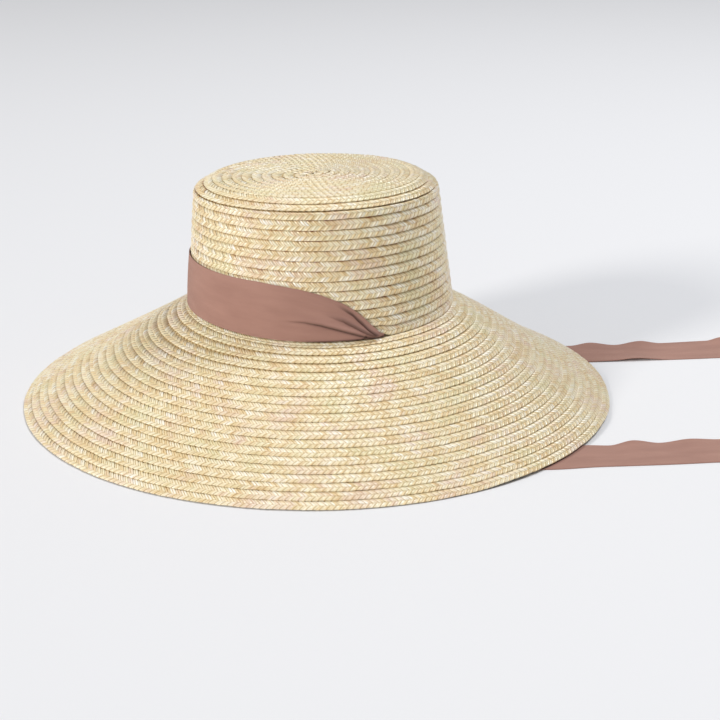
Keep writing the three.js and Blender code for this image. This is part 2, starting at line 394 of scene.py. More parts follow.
@dataclass(frozen=True)
class Plait:
    """Straw plait of two slanting columns that meet in a chevron, modelled once and repeated."""

    width: float = 7.8 * MM
    repeat: float = 4.2 * MM
    slant: float = math.radians(48)
    straw_width: float = 3.05 * MM
    straw_wall: float = 0.45 * MM
    outer: StrawShape = StrawShape(3.8 * MM, 0.28 * MM, 0.74, math.radians(6), (
        Station(0.0, -0.8, 1.3),
        Station(0.1, 0.3, 1.3),
        Station(0.4, 1.0, 1.25),
        Station(0.75, 0.4, 1.1),
        Station(1.0, -1.6, 0.9),
    ))
    inner: StrawShape = StrawShape(4.7 * MM, 0.5 * MM, 0.54, math.radians(7.5), (
        Station(0.0, -1.0, 0.75),
        Station(0.25, 0.4, 0.95),
        Station(0.5, 1.0, 1.04),
        Station(0.78, 1.2, 1.08),
        Station(1.0, 0.1, 0.95),
    ))

    def straw(self, column: Column) -> bpy.types.Object:
        """Models one float of straw, from the plait's edge to just past its middle.

        Args:
            column: The column that it lies in.

        Returns:
            The straw, placed in the plait: along it, across it and up.
        """
        outer = column is Column.OUTER
        shape = self.outer if outer else self.inner
        depth = shape.reach
        deselect_all()
        bpy.ops.mesh.primitive_cube_add(
            size=1,
            location=(depth / 2, 0, self.straw_wall / 2),
            scale=(depth, self.straw_width, self.straw_wall),
        )
        straw = bpy.context.object
        bpy.ops.object.transform_apply(location=True, rotation=False, scale=True)
        # marks the straw's bottom corners, which get painted shade where the straw meets what lies beneath
        # it
        write_attribute(straw, "foot", corner_places(straw)[:, 2] < self.straw_wall / 2)
        bpy.ops.object.mode_set(mode="EDIT")
        for station in shape.stations[1:-1]:
            bpy.ops.mesh.select_all(action="SELECT")
            bpy.ops.mesh.bisect(plane_co=(station.along * depth, 0, 0), plane_no=(1, 0, 0))
        select_corners(straw, lambda place: place.z > self.straw_wall / 2)
        bpy.ops.transform.resize(value=(1, shape.back, 1))
        for station in shape.stations:
            ring = station.along * depth
            select_corners(straw, lambda place: abs(place.x - ring) < 0.01 * MM)
            bpy.ops.transform.resize(value=(1, station.width, 1))
            bpy.ops.transform.translate(value=(0, 0, station.rise * shape.crest))
        bpy.ops.mesh.select_all(action="SELECT")
        bpy.ops.mesh.normals_make_consistent(inside=False)
        bpy.ops.object.mode_set(mode="OBJECT")
        inward, side, up = corner_places(straw).T
        start = 0 if outer else self.width
        move_corners(straw, np.stack([
            inward / math.tan(self.slant) + side / math.sin(self.slant),
            start + column.value * inward,
            up + side * math.tan(shape.shingle),
        ], axis=-1))
        smooth(straw, 50)
        return straw

    def strip(self, name: str, repeats: int) -> bpy.types.Object:
        """Models a straight strip of plait.

        Args:
            name: The strip's name.
            repeats: How many repeats of the two straws it holds.

        Returns:
            The strip: x along it, y across it from its proud edge, z up.
        """
        outer, inner = self.straw(Column.OUTER), self.straw(Column.INNER)
        select_only(outer)
        inner.select_set(True)
        bpy.ops.object.join()
        outer.name = outer.data.name = name
        apply_modifier(
            outer,
            "ARRAY",
            count=repeats,
            use_relative_offset=False,
            use_constant_offset=True,
            constant_offset_displace=(self.repeat, 0, 0),
        )
        return outer

    @property
    def straw_corners(self) -> int:
        """How many corners one straw has."""
        return 4 * len(self.outer.stations)


@dataclass
class Coil:
    """One length of braid, sewn round and round along an outline of the hat.

    Each row steps outward over a part of its turn, and its proud edge lies over the row outside it.
    At the crown's foot the last rows are drawn up, clear of the slits.
    """

    form: HatForm
    outline: np.ndarray
    plait: Plait
    pitch: float
    first_step: float = 0.5 * MM
    step: float = 0.65 * MM
    step_change: float = 0.0
    sink_share: float = 0.4
    skin: float = 0.5 * MM
    shift_start: float = math.radians(-165)
    shift_reach: float = 0.42
    inner_limit: float = 0.0
    overhang: float = 0.0
    settle: float = 0.0
    slits: tuple[float, ...] = ()
    slit_lifted: float = 4.95 * MM
    slit_reach: float = 13.5 * MM
    slit_lift: float = 2.4 * MM
    flattest: float = 0.35
    knots: np.ndarray = field(init=False)
    rows: int = field(init=False)
    turns: float = field(init=False)
    turn_knots: np.ndarray = field(init=False)
    along_knots: np.ndarray = field(init=False)

    def __post_init__(self) -> None:
        """Works out how many rows there are and how long the braid is at each turn."""
        steps = np.linalg.norm(np.diff(self.outline, axis=0), axis=1)
        self.knots = np.concatenate([[0], np.cumsum(steps)])
        self.rows = math.ceil(self.knots[-1] / self.pitch)
        self.turns = self.rows + 0.9 * self.shift_reach
        self.turn_knots = np.linspace(0, self.turns, 240 * (self.rows + 1) + 1)
        middle = np.maximum(self.edge(self.turn_knots) - self.pitch / 2, self.pitch / 4)
        places = self.surface(self.angle(self.turn_knots), middle)
        lengths = np.linalg.norm(np.diff(places, axis=0), axis=1)
        self.along_knots = np.concatenate([[0], np.cumsum(lengths)])

    def angle(self, turn: np.ndarray) -> np.ndarray:
        """Returns the angle from the front at a number of turns from the coil's start."""
        return self.shift_start + TAU * turn

    def edge(self, turn: np.ndarray) -> np.ndarray:
        """Gives how far along the outline the braid's proud edge lies.

        Args:
            turn: Turns from the coil's start.

        Returns:
            The distance along the outline.
        """
        whole = np.floor(turn)
        part = turn - whole
        stepped = lerp(part, ease(0, self.shift_reach, part), ease(1, 5, turn))
        from_last = np.maximum(self.rows - whole - stepped, 0)
        return np.maximum(self.knots[-1] - self.pitch * from_last, 0) + self.overhang

    def surface(self, angle: np.ndarray, distance: np.ndarray) -> np.ndarray:
        """Gives places on the hat's outside at angles and distances along the outline."""
        last = self.knots[-1]
        inside = np.clip(distance, 0, last)
        radius = np.interp(inside, self.knots, self.outline[:, 0])
        height = np.interp(inside, self.knots, self.outline[:, 1])
        over = np.where(distance > last, distance - last, np.minimum(distance, 0))
        ahead = np.where(distance > last, 1.0, 0.0)
        for_end = self.outline[-1] - self.outline[-2]
        for_start = self.outline[1] - self.outline[0]
        for_end, for_start = (v / np.linalg.norm(v) for v in (for_end, for_start))
        radius = radius + over * lerp(for_start[0], for_end[0], ahead)
        height = height + over * lerp(for_start[1], for_end[1], ahead)
        return self.form.on_hat(angle, radius, height)

    def lay(self, along: np.ndarray, across: np.ndarray, up: np.ndarray) -> np.ndarray:
        """Bends places of a straight strip onto the hat.

        Args:
            along: Distances along the braid from the coil's start.
            across: Distances in from the proud edge.
            up: Heights over the strip's back.

        Returns:
            The places on the hat, as rows.
        """
        turn = np.interp(along, self.along_knots, self.turn_knots)
        angle = self.angle(turn)
        edge = self.edge(turn)
        room = np.clip((edge - self.inner_limit) / self.plait.width, 0.05, 1)
        distance = edge - across * room
        last = self.knots[-1] + self.overhang
        for slit in self.slits:
            off = np.abs(np.mod(angle - slit + math.pi, TAU) - math.pi) * self.form.foot_radius
            lift = self.slit_lift * (1 - ease(self.slit_lifted, self.slit_reach, off))
            distance = distance - lift * ease(last - 2.5 * self.pitch, last, distance)
        reach = 0.4 * MM
        place = self.surface(angle, distance)
        ahead = self.surface(angle + reach / self.form.foot_radius, distance)
        inward = self.surface(angle, distance - reach)
        normal = np.cross(ahead - place, inward - place)
        normal /= np.maximum(np.linalg.norm(normal, axis=1, keepdims=True), 1e-12)
        change = ease(self.step_change - self.pitch, self.step_change + self.pitch, distance)
        step = lerp(self.first_step, self.step, change)
        inward = across / self.pitch
        tilt = -step * (inward + self.sink_share * ease(0.7, 1.05, inward))
        drop = self.settle * ease(last - 2 * self.pitch, last, distance)
        squash = lerp(self.flattest, 1, room)
        return place + normal * (up * squash + tilt - self.skin - drop)[:, None]


@dataclass(frozen=True)
class Variety:
    """How much the straws of a plait differ, one by one and in slow waves along the braid, and the light and
    shade painted onto them.

    Tones and hues are shares from 0 to 1, and map_step is how far apart in mm the straws lie in
    their map.
    """

    across: float = 0.08 * MM
    up: float = 0.05 * MM
    sway: float = 0.16 * MM
    sway_spacing: float = 23 * MM
    outer_tone: float = 0.1
    inner_tone: float = 0.15
    darkest: float = -1.0
    tone_wave: float = 0.07
    tone_spacing: float = 17 * MM
    hue: float = 0.12
    hue_wave: float = 0.12
    hue_spacing: float = 26 * MM
    inner_painted_light: float = 0.06
    foot_shade: float = 0.08
    map_step: float = 31.7


@dataclass(frozen=True)
class Rows:
    """A run of rows of a coil that makes one piece, the tone of its straws and the shade painted on their
    lap.
    """

    name: str
    first: float
    last: float
    tone: float = 0.51
    contrast: float = 1.0
    lap_shade: float = 0.7
    lap_start: float = 0.835
    lap_end: float = 0.905


@dataclass
class BraidWork:
    """The straw of one part of the hat: plaits laid in rows over a backing tape of the same rows."""

    coil: Coil
    seed: int
    tape_name: str
    pieces: tuple[Rows, ...]
    nodes: tuple[str, ...]
    variety: Variety = Variety()
    tape_wall: float = 0.42 * MM
    tape_lap: float = 2.0 * MM
    tape_margin: float = 0.6 * MM
    tape_step: float = 5 * MM

    def build(self, straw: bpy.types.Material, inside: bpy.types.Material) -> None:
        """Builds every run of rows and the tape under them.

        Args:
            straw: The material of the plaits.
            inside: The material of the tape, which shows inside the hat.
        """
        for number, rows in enumerate(self.pieces):
            self.build_plaits(rows, np.random.default_rng(self.seed + number), straw)
        self.build_tape(inside)

    def build_plaits(self, rows: Rows, rng: np.random.Generator, material: bpy.types.Material) -> None:
        """Builds one run of rows from a straight strip and bends it onto the hat.

        Args:
            rows: The run.
            rng: The seeded source of random numbers.
            material: The plaits' material.
        """
        plait, coil, vary = self.coil.plait, self.coil, self.variety
        ends = np.interp((rows.first, rows.last), coil.turn_knots, coil.along_knots)
        first, last = (math.ceil(end / plait.repeat) for end in ends)
        piece = plait.strip(rows.name, last - first)
        places = corner_places(piece)
        straw = np.arange(len(places)) // plait.straw_corners
        straws = int(straw[-1]) + 1
        inner = straw % 2 == 1
        own_across, own_up, own_tone, own_hue = rng.normal(0, 1, (4, straws))[:, straw]
        along = places[:, 0] + first * plait.repeat
        start = (straw // 2) * plait.repeat + first * plait.repeat
        sway = vary.sway * smooth_noise(rng, start, vary.sway_spacing)
        across = places[:, 1] + vary.across * own_across + sway
        up = places[:, 2] + vary.up * own_up
        self.write_straw_map(piece, places, straw)
        self.write_bake_map(piece, straws)
        strength = np.where(inner, vary.inner_tone, vary.outer_tone) * rows.contrast
        # the inner column is painted paler, as painted light on its raised teeth
        tone = rows.tone + vary.inner_painted_light * inner + strength * np.maximum(own_tone, vary.darkest)
        tone += vary.tone_wave * smooth_noise(rng, start, vary.tone_spacing)
        # painted shade: each straw darkens towards its end that goes under the next row's proud edge, where
        # that edge's shadow falls
        tone -= rows.lap_shade * ease(rows.lap_start, rows.lap_end, across / plait.width)
        # painted shade on each straw's bottom corners, where it meets the straw or tape beneath
        tone -= vary.foot_shade * read_attribute(piece, "foot")
        hue = 0.5 + vary.hue * own_hue + vary.hue_wave * smooth_noise(rng, start, vary.hue_spacing)
        write_attribute(piece, "tone", np.clip(tone, 0, 1))
        write_attribute(piece, "hue", np.clip(hue, 0, 1))
        move_corners(piece, coil.lay(along, across, up))
        dress(piece, material, "straw", *self.nodes)

    def write_straw_map(self, piece: bpy.types.Object, places: np.ndarray, straw: np.ndarray) -> None:
        """Writes a map in mm that runs along and across each straw, each at a place of its own.

        Args:
            piece: The run of plaits, still straight.
            places: The places of its corners.
            straw: The number of each corner's straw.
        """
        plait = self.coil.plait
        inner = straw % 2 == 1
        turn = np.where(inner, -plait.slant, plait.slant)
        from_start = places[:, 0] - (straw // 2) * plait.repeat
        from_edge = places[:, 1] - np.where(inner, plait.width, 0)
        write_uv(piece, "Straw", np.stack([
            (from_start * np.cos(turn) + from_edge * np.sin(turn)) / MM + straw * self.variety.map_step,
            (from_edge * np.cos(turn) - from_start * np.sin(turn)) / MM,
        ], axis=-1))

    def write_bake_map(self, piece: bpy.types.Object, straws: int) -> None:
        """Gives each straw a cell of its own in the map that a bake uses.

        Args:
            piece: The run of plaits, still straight.
            straws: How many straws it holds.
        """
        plait = self.coil.plait
        straw = np.arange(straws * plait.straw_corners) // plait.straw_corners
        side = math.ceil(math.sqrt(straws))
        local = corner_places(piece).reshape(straws, plait.straw_corners, 3)
        low, high = local.min(axis=1), local.max(axis=1)
        share = ((local - low[:, None]) / (high - low)[:, None]).reshape(-1, 3)
        margin = 0.08
        cell = np.stack([straw % side, straw // side], axis=-1)
        write_uv(piece, "OFBake", (cell + margin + share[:, :2] * (1 - 2 * margin)) / side)
        piece.data.uv_layers["OFBake"].active = True

    def build_tape(self, material: bpy.types.Material) -> None:
        """Builds the closed tape that backs the plaits, row on row.

        Args:
            material: The tape's material.
        """
        coil = self.coil
        start = float(np.interp(self.pieces[0].first, coil.turn_knots, coil.along_knots))
        length = coil.along_knots[-1] - start
        cells = math.ceil(length / self.tape_step)
        width = coil.pitch + self.tape_lap - self.tape_margin
        tape = add_grid(self.tape_name, cells, 2)
        flat = corner_places(tape)
        move_corners(tape, np.stack([
            (flat[:, 0] + 0.5) * length,
            (flat[:, 1] + 0.5) * width + self.tape_margin,
            np.zeros(len(flat)),
        ], axis=-1))
        apply_modifier(tape, "SOLIDIFY", thickness=self.tape_wall, offset=-1)
        places = corner_places(tape)
        write_uv(tape, "Row", places[:, :2] / MM)
        move_corners(tape, coil.lay(places[:, 0] + start, places[:, 1], places[:, 2]))
        smooth(tape, 50)
        dress(tape, material, "straw", *self.nodes)


# The ribbon

@dataclass(frozen=True)
class EdgePoint:
    """A place on the band's top edge, as shares of the ribbon's width from the slit and up."""

    along: float
    height: float


@dataclass(frozen=True)
class FoldPoint:
    """A place on a fold's crease: share of the ribbon's width from the slit, and share up."""

    along: float
    up: float


@dataclass(frozen=True)
class Fold:
    """One fold of the band beside a slit: where its crease runs and how far it stands out.

    The lip and the body are how fast the cloth rises over the crease and falls off above it. The
    shade is how dark the painted shade along the crease is, and it fades over and under it.
    """

    crease: tuple[FoldPoint, ...]
    depth: float
    body: float
    shade: float
    lip: float = 0.4 * MM
    swell: float = 1.6
    valley: float = 0.25
    shade_over: float = 1.0 * MM
    shade_under: float = 0.7 * MM


@dataclass(frozen=True)
class Sway:
    """Where a tie lies: share of the way back, and sway as a share of its width."""

    back: float
    sway: float


@dataclass(frozen=True)
class EdgeBend:
    """How an edge of a tie lies at a distance back: how far it is drawn in and lifted, in mm."""

    back: float
    drawn_in: float
    lift: float = 0.0


def catmull_rom(points: np.ndarray, steps: int) -> np.ndarray:
    """Draws a smooth curve through points, evenly rounded where they lie close together.

    Args:
        points: The points, as rows.
        steps: Steps from each point to the next.

    Returns:
        Places along the curve, as rows.
    """
    padded = np.concatenate([[2 * points[0] - points[1]], points, [2 * points[-1] - points[-2]]])
    curve = []
    for i in range(len(points) - 1):
        a, b, c, d = padded[i:i + 4]
        times = np.cumsum([0] + [np.linalg.norm(q - p) ** 0.5 for p, q in ((a, b), (b, c), (c, d))])
        last = i == len(points) - 2
        for t in np.linspace(times[1], times[2], steps + 1)[:None if last else -1]:
            ab, bc, cd = (
                p + (q - p) * (t - times[k]) / (times[k + 1] - times[k])
                for k, (p, q) in enumerate(((a, b), (b, c), (c, d)))
            )
            abc = ab + (bc - ab) * (t - times[0]) / (times[2] - times[0])
            bcd = bc + (cd - bc) * (t - times[1]) / (times[3] - times[1])
            curve.append(abc + (bcd - abc) * (t - times[1]) / (times[2] - times[1]))
    return np.array(curve)


@dataclass(frozen=True)
class RibbonSizes:
    """Sizes that the ribbon's band and its two ties share."""

    width: float = 40 * MM
    wall: float = 0.6 * MM
    gap: float = 0.4 * MM
    slit_angle: float = math.radians(113.4)
    gather_width: float = 11 * MM
    gather_fade: float = 1.5 * MM
    tuck_reach: float = 2.4 * MM


@dataclass
class RibbonBand:
    """The ribbon round the front of the crown, which narrows, folds and turns in at each slit."""

    form: HatForm
    sizes: RibbonSizes
    along_cells: int = 300
    across_cells: int = 72
    crowding: float = 1.25
    tuck_share: float = 0.16
    bow: float = 0.35 * MM
    sunk_at_most: float = 0.1 * MM
    lower_edge_shade_reach: float = 0.9 * MM
    lower_edge_shade: float = 0.85
    edge: tuple[EdgePoint, ...] = (
        EdgePoint(-0.18, 0.05),
        EdgePoint(-0.1, 0.07),
        EdgePoint(0.03, 0.215),
        EdgePoint(0.2, 0.405),
        EdgePoint(0.37, 0.55),
        EdgePoint(0.54, 0.66),
        EdgePoint(0.75, 0.755),
        EdgePoint(0.97, 0.84),
        EdgePoint(1.3, 0.92),
        EdgePoint(1.65, 0.965),
        EdgePoint(2.1, 1.0),
    )
    folds: tuple[Fold, ...] = (
        Fold((FoldPoint(-0.05, 0.04), FoldPoint(0.2, 0.137), FoldPoint(0.41, 0.226),
              FoldPoint(0.667, 0.307), FoldPoint(0.94, 0.366), FoldPoint(1.215, 0.392),
              FoldPoint(1.7, 0.36)), 2.4 * MM, 5 * MM, 1.0, shade_under=1.3 * MM),
        Fold((FoldPoint(-0.05, 0.2), FoldPoint(0.05, 0.34), FoldPoint(0.205, 0.605),
              FoldPoint(0.372, 0.787), FoldPoint(0.7, 0.9)), 0.7 * MM, 2.6 * MM, 0.9, shade_over=2.0 * MM),
        Fold((FoldPoint(-0.05, 0.15), FoldPoint(0.163, 0.266), FoldPoint(0.316, 0.395),
              FoldPoint(0.55, 0.52), FoldPoint(0.9, 0.6)), 1.0 * MM, 2.6 * MM, 0.7, shade_over=2.2 * MM),
    )

    def top(self, share: np.ndarray) -> np.ndarray:
        """Returns the top edge's height, as a share of the width, at shares from the slit."""
        return np.interp(share, [p.along for p in self.edge], [p.height for p in self.edge])

    def relief(
        self, share: np.ndarray, height: np.ndarray, top: np.ndarray,
    ) -> tuple[np.ndarray, np.ndarray]:
        """Gives how far the folds stand out, and the painted shade along their creases and the band's lower
        edge.

        Args:
            share: Distances from the slit as shares of the ribbon's width.
            height: Heights over the band's lower edge.
            top: The height of the top edge there.

        Returns:
            The distance out, and the share of painted shade.
        """
        out, crease = np.zeros_like(height), np.zeros_like(height)
        for fold in self.folds:
            line = np.interp(share, [p.along for p in fold.crease], [p.up for p in fold.crease])
            reach = fold.crease[-1].along
            fade = ease(-0.15, 0.05, share) * (1 - ease(0.5 * reach, reach, share))
            over = height - line * top
            lip = 1 - np.exp(-np.maximum(over, 0) / fold.lip)
            body = np.exp(-np.maximum(over, 0) / fold.body)
            valley = -fold.valley * np.exp(np.minimum(over, 0) / fold.lip)
            out += fold.depth * fade * np.where(over > 0, lip * body * fold.swell + valley, valley)
            # painted shade along each crease, strongest on it and fading over and under it
            near = np.where(over > 0, over / fold.shade_over, -over / fold.shade_under)
            crease = np.maximum(crease, fold.shade * fade * np.exp(-near * near))
        # painted shade along the band's lower edge, which fades out by 1.5 ribbon widths from the slit
        turned = np.exp(-(height / self.lower_edge_shade_reach) ** 2) * (1 - ease(0.9, 1.5, share))
        return out, np.maximum(crease, self.lower_edge_shade * turned)

    def build(self, material: bpy.types.Material) -> bpy.types.Object:
        """Builds the band.

        Args:
            material: The cloth.

        Returns:
            The finished band.
        """
        form, sizes = self.form, self.sizes
        band = add_grid("ribbon_band_cloth", self.along_cells, self.across_cells)
        flat = corner_places(band)
        front = sizes.slit_angle * form.foot_radius
        gather_end = sizes.gather_width / 2 + sizes.gather_fade
        side = np.where(flat[:, 0] < 0, -1.0, 1.0)
        run = 1 - 2 * np.abs(flat[:, 0])
        from_slit = lerp(-gather_end, front, run ** self.crowding)
        across = flat[:, 1] + 0.5
        share = from_slit / sizes.width
        top = sizes.width * self.top(share)
        off = np.abs(from_slit) - sizes.gather_width / 2
        gather = 1 - ease(0, sizes.gather_fade * 2, off)
        tuck = np.clip(1 - across / self.tuck_share, 0, 1)
        wall_share = np.clip((across - self.tuck_share) / (1 - self.tuck_share), 0, 1)
        height = top * lerp(across, wall_share, gather)
        out, crease = self.relief(share, height, top)
        out *= 1 - gather * tuck
        lean = form.crown_taper * height / form.crown_height
        bow = self.bow * np.sin(np.pi * np.clip(height / top, 0, 1)) * ease(0.2, 1.2, share)
        outside = form.foot_radius - lean + sizes.gap + np.maximum(out, -self.sunk_at_most) + bow
        inside = form.foot_radius - form.wall - sizes.tuck_reach
        radius = lerp(outside, inside, gather * ease(0, 1, tuck))
        angle = side * (sizes.slit_angle - from_slit / form.foot_radius)
        write_uv(band, "Cloth", np.stack([
            side * (front - from_slit) / MM,
            across * sizes.width / MM,
        ], axis=-1))
        # the crease attribute holds the painted shade along the creases and the band's lower edge
        write_attribute(band, "crease", crease)
        lowest = form.brim_drop + sizes.gap
        move_corners(band, form.on_hat(angle, radius, lowest + height))
        self.finish(band, material)
        return band

    def finish(self, band: bpy.types.Object, material: bpy.types.Material) -> None:
        """Gives the band its thickness, its body and its cloth.

        Args:
            band: The band's surface.
            material: The cloth.
        """
        recalculate_outward(band)
        apply_modifier(band, "SOLIDIFY", thickness=self.sizes.wall, offset=1, use_even_offset=True)
        smooth(band, 60)
        dress(band, material, "ribbon", "ribbon_band")


def recalculate_outward(piece: bpy.types.Object) -> None:
    """Turns the faces of an open sheet round the hat to the outside."""
    select_only(piece)
    mesh = piece.data
    middle = Vector(corner_places(piece).mean(axis=0))
    facing = sum(p.area * p.normal.dot(p.center - middle) for p in mesh.polygons)
    if facing < 0:
        bpy.ops.object.mode_set(mode="EDIT")
        bpy.ops.mesh.select_all(action="SELECT")
        bpy.ops.mesh.flip_normals()
        bpy.ops.object.mode_set(mode="OBJECT")


class Side(Enum):
    """The wearer's side that a tie lies on."""

    LEFT = 1
    RIGHT = -1


@dataclass(frozen=True)
class TieLine:
    """How a tie lies on the floor: its side, its reach back, its sways and the bends of its edges."""

    node: str
    side: Side
    reach: float
    sways: tuple[Sway, ...]
    inner_edge: tuple[EdgeBend, ...]
    outer_edge: tuple[EdgeBend, ...]


LEFT_TIE = TieLine(
    "ribbon_tie_left", Side.LEFT, 302 * MM,
    sways=(Sway(0.34, -0.16), Sway(0.46, 0.08), Sway(0.64, 0.05), Sway(0.8, -0.06), Sway(1.0, -0.2)),
    inner_edge=(
        EdgeBend(170, 1.5),
        EdgeBend(190.7, 2.9),
        EdgeBend(204.9, 4.2),
        EdgeBend(222.2, 0, 1.3),
        EdgeBend(241, 3.2),
        EdgeBend(262.9, 0, 0.8),
        EdgeBend(283.6, 1),
    ),
    outer_edge=(
        EdgeBend(156.3, 0),
        EdgeBend(199.7, 2.6),
        EdgeBend(243.1, 1.9),
        EdgeBend(275.2, 2.4),
    ),
)
RIGHT_TIE = TieLine(
    "ribbon_tie_right", Side.RIGHT, 345 * MM,
    sways=(Sway(0.32, -0.05), Sway(0.45, -0.1), Sway(0.62, -0.04), Sway(0.82, 0.1), Sway(1.0, 0.27)),
    inner_edge=(
        EdgeBend(213, 0),
        EdgeBend(230.6, 0, 0.6),
        EdgeBend(251.8, 0, 2.2),
        EdgeBend(281.5, 0),
    ),
    outer_edge=(
        EdgeBend(180, 1.5),
        EdgeBend(203.4, 3.5),
        EdgeBend(220.1, 0, 1.1),
        EdgeBend(240.3, 3.9),
        EdgeBend(261.7, 0, 1.4),
        EdgeBend(278.7, 2.8),
        EdgeBend(316.6, 1.3),
        EdgeBend(330.4, 0, 2.2),
    ),
)


@dataclass(frozen=True)
class HangPoint:
    """A place where a tie hangs inside the hat, as shares of the way down and of the way out."""

    down: float
    out: float


@dataclass
class Tie:
    """One end of the ribbon, from its slit down inside the hat and out over the floor."""

    form: HatForm
    sizes: RibbonSizes
    line: TieLine
    across_cells: int = 14
    steps: int = 34
    ground: float = 0.5 * MM
    lip_reach: float = 2 * MM
    landing: float = 12 * MM
    hang: tuple[HangPoint, ...] = (
        HangPoint(0.2, 0.02),
        HangPoint(0.5, 0.12),
        HangPoint(0.8, 0.36),
        HangPoint(0.965, 0.68),
    )

    def in_slit(self, inward: float = 0.0, down: float = 0.0, turned: float = 0.0) -> np.ndarray:
        """Gives a place in the slit or just inside it.

        Args:
            inward: Distance in from where the tie starts.
            down: Distance down from there.
            turned: Angle towards the front from there.

        Returns:
            The place.
        """
        form, sizes = self.form, self.sizes
        radius = form.foot_radius - form.wall - sizes.tuck_reach - sizes.gap
        height = form.brim_drop + sizes.gap + self.ground
        angle = self.line.side.value * (sizes.slit_angle - turned)
        return form.on_hat(angle, radius - inward, height - down)

    def route(self) -> np.ndarray:
        """Returns the points that the middle of the tie passes, as rows."""
        form, line = self.form, self.line
        track = form.left_track if line.side is Side.LEFT else form.right_track
        floor = np.array([
            (line.side.value * (track + s.sway * self.sizes.width), line.reach * s.back, self.ground)
            for s in line.sways
        ])
        start, lip = self.in_slit(), self.in_slit(self.lip_reach)
        turn = self.in_slit(2 * self.lip_reach, self.lip_reach)
        hang = np.array([
            lerp(turn, floor[0], np.array((point.out, point.out, point.down))) for point in self.hang
        ])
        return np.concatenate([[start, lip, turn], hang, floor])

    def sideways(self, opened: np.ndarray) -> np.ndarray:
        """Gives the way across the tie, which turns as it opens out from its slit.

        Args:
            opened: How far the tie has opened out, as shares.

        Returns:
            The way across at each share, as rows.
        """
        gathered = (self.in_slit(turned=0.01) - self.in_slit()) * (1, 1, 0)
        gathered /= np.linalg.norm(gathered)
        ways = lerp(gathered, np.array([self.line.side.value, 0, 0]), opened[:, None])
        return ways / np.linalg.norm(ways, axis=1, keepdims=True)

    def bend(self, edge: tuple[EdgeBend, ...], back: np.ndarray) -> tuple[np.ndarray, np.ndarray]:
        """Gives how far an edge is drawn in and lifted at distances back.

        Args:
            edge: The edge's bends.
            back: The distances back.

        Returns:
            The distances in and up.
        """
        table = np.array([(b.back, b.drawn_in, b.lift) for b in edge]) * MM
        index = np.clip(np.searchsorted(table[:, 0], back) - 1, 0, len(table) - 2)
        share = ease(0, 1, (back - table[index, 0]) / (table[index + 1, 0] - table[index, 0]))
        rows = lerp(table[index], table[index + 1], share[:, None])
        return rows[:, 1], rows[:, 2]

    def build(self, material: bpy.types.Material) -> bpy.types.Object:
        """Builds the tie.

        Args:
            material: The cloth.

        Returns:
            The finished tie.
        """
        sizes, line, points = self.sizes, self.line, self.route()
        curve = catmull_rom(points, self.steps)
        last = len(curve) - 1
        tie = add_grid(f"{line.node}_cloth", last, self.across_cells)
        along, across = corner_places(tie)[:, :2].T + 0.5
        stop = np.rint(along * last).astype(int)
        middle = curve[stop]
        spans, turn, on_ground = len(points) - 1, 2, len(points) - len(line.sways)
        opened = ease(turn / spans, on_ground / spans, stop / last)
        width = lerp(sizes.gather_width, sizes.width, opened)
        landed = ease(0, self.landing, middle[:, 1] - points[on_ground][1])
        inner_in, inner_lift = self.bend(line.inner_edge, middle[:, 1])
        outer_in, outer_lift = self.bend(line.outer_edge, middle[:, 1])
        inner_share, outer_share = landed * (1 - across) ** 3, landed * across ** 3
        aside = (across - 0.5) * width + inner_in * inner_share - outer_in * outer_share
        places = middle + self.sideways(opened) * aside[:, None]
        places[:, 2] += inner_lift * inner_share + outer_lift * outer_share
        write_uv(tie, "Cloth", np.stack([middle[:, 1] / MM, across * sizes.width / MM], axis=-1))
        move_corners(tie, places)
        apply_modifier(tie, "SOLIDIFY", thickness=sizes.wall, offset=0)
        smooth(tie, 60)
        dress(tie, material, "ribbon", line.node)
        return tie


# Finishes

class Nodes:
    """Builds the nodes of one material."""

    def __init__(self, name: str) -> None:
        """Starts a material with an empty tree.

        Args:
            name: The material's name.
        """
        self.material = bpy.data.materials.new(name)
        self.material.use_nodes = True
        self.tree = self.material.node_tree
        self.tree.nodes.clear()

    def add(
        self, kind: str, inputs: dict | None = None, stops: tuple[tuple[float, str], ...] = (), **settings,
    ) -> bpy.types.Node:
        """Adds one node.

        Args:
            kind: The node's type.
            inputs: By input name or number, a value, an output socket, or a node for its first output.
            stops: A colour ramp's places and sRGB hex colours, from low to high.
            **settings: The node's own settings by name.

        Returns:
            The node.
        """
        node = self.tree.nodes.new(kind)
        for name, value in settings.items():
            setattr(node, name, value)
        for name, value in (inputs or {}).items():
            if isinstance(value, bpy.types.Node):
                value = value.outputs[0]
            if isinstance(value, bpy.types.NodeSocket):
                self.tree.links.new(value, node.inputs[name])
            else:
                node.inputs[name].default_value = value
        for place, _ in stops[1:-1]:
            node.color_ramp.elements.new(place)
        for number, (place, colour) in enumerate(stops):
            node.color_ramp.elements[number].position = place
            node.color_ramp.elements[number].color = linear(colour)
        return node

    def finish(self, shader: bpy.types.Node) -> bpy.types.Material:
        """Links the shader to the output and returns the material."""
        self.add("ShaderNodeOutputMaterial", {0: shader})
        return self.material


